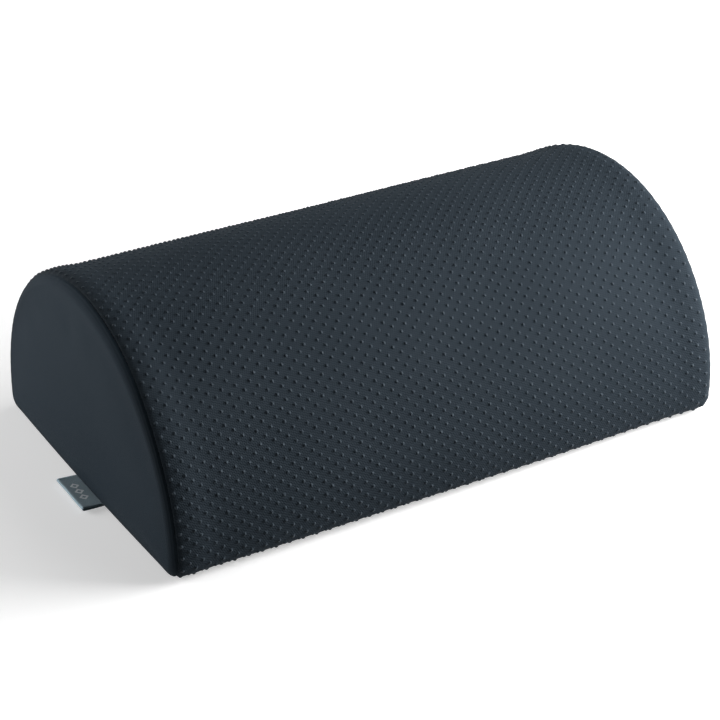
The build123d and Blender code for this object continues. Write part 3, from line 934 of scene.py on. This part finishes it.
def knit_material(name, dark, light, wale, course, depth, lie, dotted=False):
    """Fine knit with a soft surface: heather colour, stitch relief and fuzz, and painted shade in a band
    beside the end seams. Raised dots are painted lighter as a highlight, and are a little rubbed."""
    m = Shade(name)
    cloth, along, around = split_cloth(m)
    across, forward = turned(m, along, around, lie)
    stitch = knit_height(m, across, forward, wale, course)
    heather = m.noise(cloth, 900.0, 3.0, 0.7)
    patch = m.noise(cloth, 14.0, 3.0)
    tone = m.add(m.span(heather, 0.25, 0.75, -0.16, 0.16), m.span(patch, 0.3, 0.7, -0.1, 0.1))
    # partly the knit's own stitch pattern, partly painted shade: darker where the stitch relief is low, in
    # the gaps
    tone = m.add(tone, m.span(stitch, -1.0, 1.0, 0.2, 0.8))
    # painted highlight: the raised dots are painted lighter by their share of height
    if dotted:
        dot = m.attribute("dot").outputs["Fac"]
        tone = m.add(tone, m.times(dot, m.span(patch, 0.35, 0.65, 0.6, 1.1)))
    colour = m.mix(tone, dark, light)
    # painted shade: beside the end seams the colour is mixed towards a much darker copy of the dark yarn
    shaded = tuple(0.3 * v for v in dark[:3]) + (1.0,)
    pressed_and_painted_shade = m.attribute("pressed_and_painted_shade").outputs["Fac"]
    colour = m.mix(m.times(pressed_and_painted_shade, 0.7), colour, shaded)
    fuzz = m.noise(cloth, 2600.0, 2.0, 0.7)
    normal = m.bump(m.add(stitch, m.times(fuzz, 0.4)), depth)
    rough = m.span(heather, 0.2, 0.8, 0.74, 0.9)
    if dotted:
        rough = m.minus(rough, m.times(dot, 0.42))
    return m.set(Base_Color=colour, Roughness=rough, Normal=normal, Sheen_Weight=FIBRE_SHEEN,
                 Sheen_Roughness=0.5, Sheen_Tint=rgb(0.7, 0.87, 1.0), Specular_IOR_Level=0.15,
                 Specular_Tint=FIBRE_TINT)


def thread_material():
    """Twisted polyester thread, a shade darker than the cloth."""
    m = Shade("sewing_thread")
    place = m.place()
    twist = m.node("TexWave", wave_type="BANDS", bands_direction="DIAGONAL")
    twist = m.feed(twist, Vector=place, Scale=900.0, Distortion=1.5).outputs["Fac"]
    fibre = m.noise(place, 3000.0, 2.0)
    tone = m.times(twist, m.span(fibre, 0.2, 0.8, 0.7, 1.0))
    colour = m.mix(tone, rgb(0.007, 0.010, 0.014), rgb(0.022, 0.029, 0.038))
    return m.set(Base_Color=colour, Roughness=m.span(fibre, 0.2, 0.8, 0.5, 0.7),
                 Normal=m.bump(twist, 0.06 * MM), Sheen_Weight=FIBRE_SHEEN, Specular_IOR_Level=0.25)


def foam_material():
    """Cut polyurethane foam: open cells, slightly yellowed in patches."""
    m = Shade("foam")
    place = m.place()
    cells = m.node("TexVoronoi", feature="SMOOTH_F1")
    cells = m.feed(cells, Vector=place, Scale=900.0).outputs["Distance"]
    age = m.noise(place, 9.0, 4.0)
    tint = m.mix(m.span(age, 0.3, 0.7, 0.0, 1.0), rgb(0.46, 0.45, 0.42), rgb(0.50, 0.45, 0.34))
    colour = m.mix(m.span(cells, 0.0, 0.7, 0.35, 1.0), rgb(0.20, 0.19, 0.17), tint)
    return m.set(Base_Color=colour, Roughness=m.span(age, 0.2, 0.8, 0.85, 0.97),
                 Normal=m.bump(cells, 0.5 * MM), Sheen_Weight=0.1)


def tape_material():
    """Zip tape: fine herringbone of dark polyester."""
    m = Shade("zip_tape")
    cloth, along, around = split_cloth(m)
    chevron = m.math("PINGPONG", around, 1.5 * MM)
    rib = m.wave(m.add(along, m.times(chevron, 1.2)), 0.8 * MM)
    warp = m.wave(around, 0.45 * MM)
    weave = m.add(m.times(rib, 0.7), m.times(warp, 0.3))
    lint = m.noise(cloth, 1500.0, 3.0, 0.7)
    tone = m.add(m.span(weave, -1.0, 1.0, 0.1, 0.8), m.span(lint, 0.3, 0.7, -0.15, 0.2))
    colour = m.mix(tone, rgb(0.005, 0.008, 0.012), rgb(0.022, 0.031, 0.041))
    return m.set(Base_Color=colour, Roughness=m.span(lint, 0.2, 0.8, 0.6, 0.85),
                 Normal=m.bump(weave, 0.12 * MM), Sheen_Weight=FIBRE_SHEEN, Specular_IOR_Level=0.2,
                 Specular_Tint=FIBRE_TINT)


def coil_material():
    """Nylon monofilament: smooth, slightly rubbed where the slider runs."""
    m = Shade("zip_coil")
    place = m.place()
    haze = m.noise(place, 260.0, 3.0)
    colour = m.mix(haze, rgb(0.010, 0.013, 0.017), rgb(0.034, 0.041, 0.050))
    return m.set(Base_Color=colour, Roughness=m.span(haze, 0.3, 0.7, 0.26, 0.48),
                 Normal=m.bump(m.noise(place, 1800.0), 0.03 * MM), Specular_IOR_Level=0.3)


def enamel_material():
    """Enamelled zinc casting: dark paint with orange peel, worn to bare metal on its edges."""
    m = Shade("zip_metal")
    place = m.place()
    scuff = m.noise(place, 700.0, 4.0, 0.7)
    sharp = m.node("NewGeometry").outputs["Pointiness"]
    edge = m.times(m.span(sharp, 0.56, 0.70, 0.0, 0.8), m.span(scuff, 0.45, 0.60, 0.0, 1.0))
    enamel = m.mix(scuff, rgb(0.012, 0.014, 0.018), rgb(0.030, 0.034, 0.040))
    colour = m.mix(edge, enamel, rgb(0.40, 0.39, 0.38))
    peel = m.noise(place, 1200.0, 1.0)
    return m.set(Base_Color=colour, Metallic=m.span(edge, 0.0, 1.0, 0.1, 1.0),
                 Roughness=m.span(scuff, 0.3, 0.7, 0.30, 0.42), Normal=m.bump(peel, 0.015 * MM, 0.5))


def ribbon_material(length):
    """Woven satin ribbon: grey-blue ground, lighter along its fold, with a plain row of woven lozenges."""
    m = Shade("label_ribbon")
    cloth, along, across = split_cloth(m)
    width = LABEL_Y1 - LABEL_Y0
    pick = m.wave(along, 0.32 * MM)
    end = m.wave(across, 0.26 * MM)
    weave = m.add(m.times(pick, 0.6), m.times(end, 0.4))
    lint = m.noise(cloth, 800.0, 3.0, 0.6)
    from_fold = m.math("ABSOLUTE", m.minus(along, length / 2))
    # lighter towards the fold
    lighter_near_fold = m.span(from_fold, 0.6 * MM, 2.6 * MM, 0.35, 0.0)
    edge = m.math("ABSOLUTE", m.minus(across, width / 2))
    selvedge = m.span(edge, width / 2 - 1.0 * MM, width / 2 - 0.6 * MM, 0.0, -0.3)
    tone = m.add(m.span(weave, -1.0, 1.0, 0.3, 0.6), m.span(lint, 0.3, 0.7, -0.15, 0.15))
    tone = m.add(m.add(tone, lighter_near_fold), selvedge)
    ground = m.mix(tone, rgb(0.12, 0.19, 0.235), rgb(0.43, 0.59, 0.68))
    repeat = m.math("PINGPONG", m.minus(across, width / 2), LOZENGE_PITCH / 2)
    row = m.math("ABSOLUTE", m.minus(along, length * 0.72))
    lozenge = m.times(m.add(repeat, row), 1 / LOZENGE_R)
    inside_row = m.math("LESS_THAN", edge, 1.5 * LOZENGE_PITCH)
    rim = m.math("LESS_THAN", lozenge, 1.0)
    hole = m.math("GREATER_THAN", lozenge, 0.45)
    motif = m.times(m.times(rim, hole), inside_row)
    colour = m.mix(motif, ground, m.mix(lint, rgb(0.80, 0.87, 0.91), rgb(0.92, 0.95, 0.97)))
    raised = m.add(weave, m.times(motif, 1.2))
    return m.set(Base_Color=colour, Roughness=m.span(lint, 0.2, 0.8, 0.42, 0.62),
                 Normal=m.bump(raised, 0.07 * MM, 0.8), Sheen_Weight=0.2)


# ---- stage
def area_light(name, place, target, size, power):
    data = bpy.data.lights.new(name, "AREA")
    data.shape = "RECTANGLE"
    data.size, data.size_y = size
    data.energy = power
    light = put(name, data)
    light.location = place
    light.rotation_euler = (Vector(target) - Vector(place)).to_track_quat("-Z", "Y").to_euler()


def build_stage():
    """Pale floor and a white studio: soft light from the front right, the rear left and above. The
    world is white to the camera only, and the floor, which glows a little, lights nothing."""
    mesh = bpy.data.meshes.new("floor")
    corners = [(x * FLOOR_HALF, y * FLOOR_HALF, 0) for x, y in ((-1, -1), (1, -1), (1, 1), (-1, 1))]
    mesh.from_pydata(corners, [], [(0, 1, 2, 3)])
    floor = put("floor", mesh)
    m = Shade("pale_floor")
    away = m.feed(m.node("VectorMath", operation="LENGTH"), m.place())
    glow = m.span(away.outputs["Value"], *GLOW_REACH, *GLOW)
    mesh.materials.append(m.set(Base_Color=rgb(0.85, 0.85, 0.85), Roughness=0.9, Specular_IOR_Level=0.1,
                                Emission_Color=rgb(1, 1, 1), Emission_Strength=glow))
    floor.visible_diffuse = False
    world = bpy.data.worlds.new("studio")
    bpy.context.scene.world = world
    world.use_nodes = True
    backdrop = world.node_tree.nodes["Background"]
    backdrop.inputs["Color"].default_value = rgb(1, 1, 1)
    seen = world.node_tree.nodes.new("ShaderNodeLightPath").outputs["Is Camera Ray"]
    strength = world.node_tree.nodes.new("ShaderNodeMapRange")
    strength.inputs["To Min"].default_value = AMBIENT
    world.node_tree.links.new(seen, strength.inputs["Value"])
    world.node_tree.links.new(strength.outputs["Result"], backdrop.inputs["Strength"])
    middle = (0, 0, ARC_R / 2)
    for name, (place, size, power) in LIGHTS.items():
        area_light(name, place, middle, size, power)


def build_camera():
    """The photograph's viewpoint: a long lens from the front left, a little above."""
    data = bpy.data.cameras.new("camera")
    data.sensor_width = SENSOR
    data.lens = LENS
    camera = put("camera", data)
    back = Vector((math.sin(AZIMUTH) * math.cos(ELEVATION), -math.cos(AZIMUTH) * math.cos(ELEVATION),
                   math.sin(ELEVATION)))
    right = Vector((math.cos(AZIMUTH), math.sin(AZIMUTH), 0))
    camera.location = 2 * HALF * (BACK * back + UP * back.cross(right) + RIGHT * right)
    camera.rotation_mode = "QUATERNION"
    camera.rotation_quaternion = back.to_track_quat("Z", "Y")
    bpy.context.scene.camera = camera


# ---- knits: dark and light yarn, width of a wale, height of a course, relief, turn of the stitches
DOTTED_KNIT = (rgb(0.008, 0.0125, 0.018), rgb(0.026, 0.0345, 0.044), 2.6 * MM, 1.6 * MM, 0.14 * MM,
               math.radians(117))
BASE_KNIT = (rgb(0.010, 0.015, 0.021), rgb(0.030, 0.040, 0.052), 0.9 * MM, 0.7 * MM, 0.1 * MM, math.pi / 2)
END_KNIT = (rgb(0.004, 0.009, 0.015), rgb(0.015, 0.024, 0.034), 0.6 * MM, 0.45 * MM, 0.05 * MM, math.pi / 2)


def build_object():
    dotted = knit_material("dotted_knit", *DOTTED_KNIT, dotted=True)
    base = knit_material("base_knit", *BASE_KNIT)
    end = knit_material("end_knit", *END_KNIT)
    thread, metal, tape, coil = thread_material(), enamel_material(), tape_material(), coil_material()
    build_foam(foam_material())
    build_top_panel(dotted)
    build_base_panel(base)
    build_end_panel(-1, "left_end_cover", "cover_end_left", end)
    build_end_panel(1, "right_end_cover", "cover_end_right", end)
    build_seams(thread)
    build_topstitching(thread)
    for side, half in ((1, "upper"), (-1, "lower")):
        build_tape(side, "zip_tape_" + half, tape)
        build_coil(side, "zip_coil_" + half, coil)
    finish_cad(metal, "zip_slider", "zip_pull_tab", "zip_top_stops", "zip_bottom_stop")
    build_label()


bpy.context.scene.view_settings.view_transform = "Standard"
build_camera()
build_stage()
build_object()
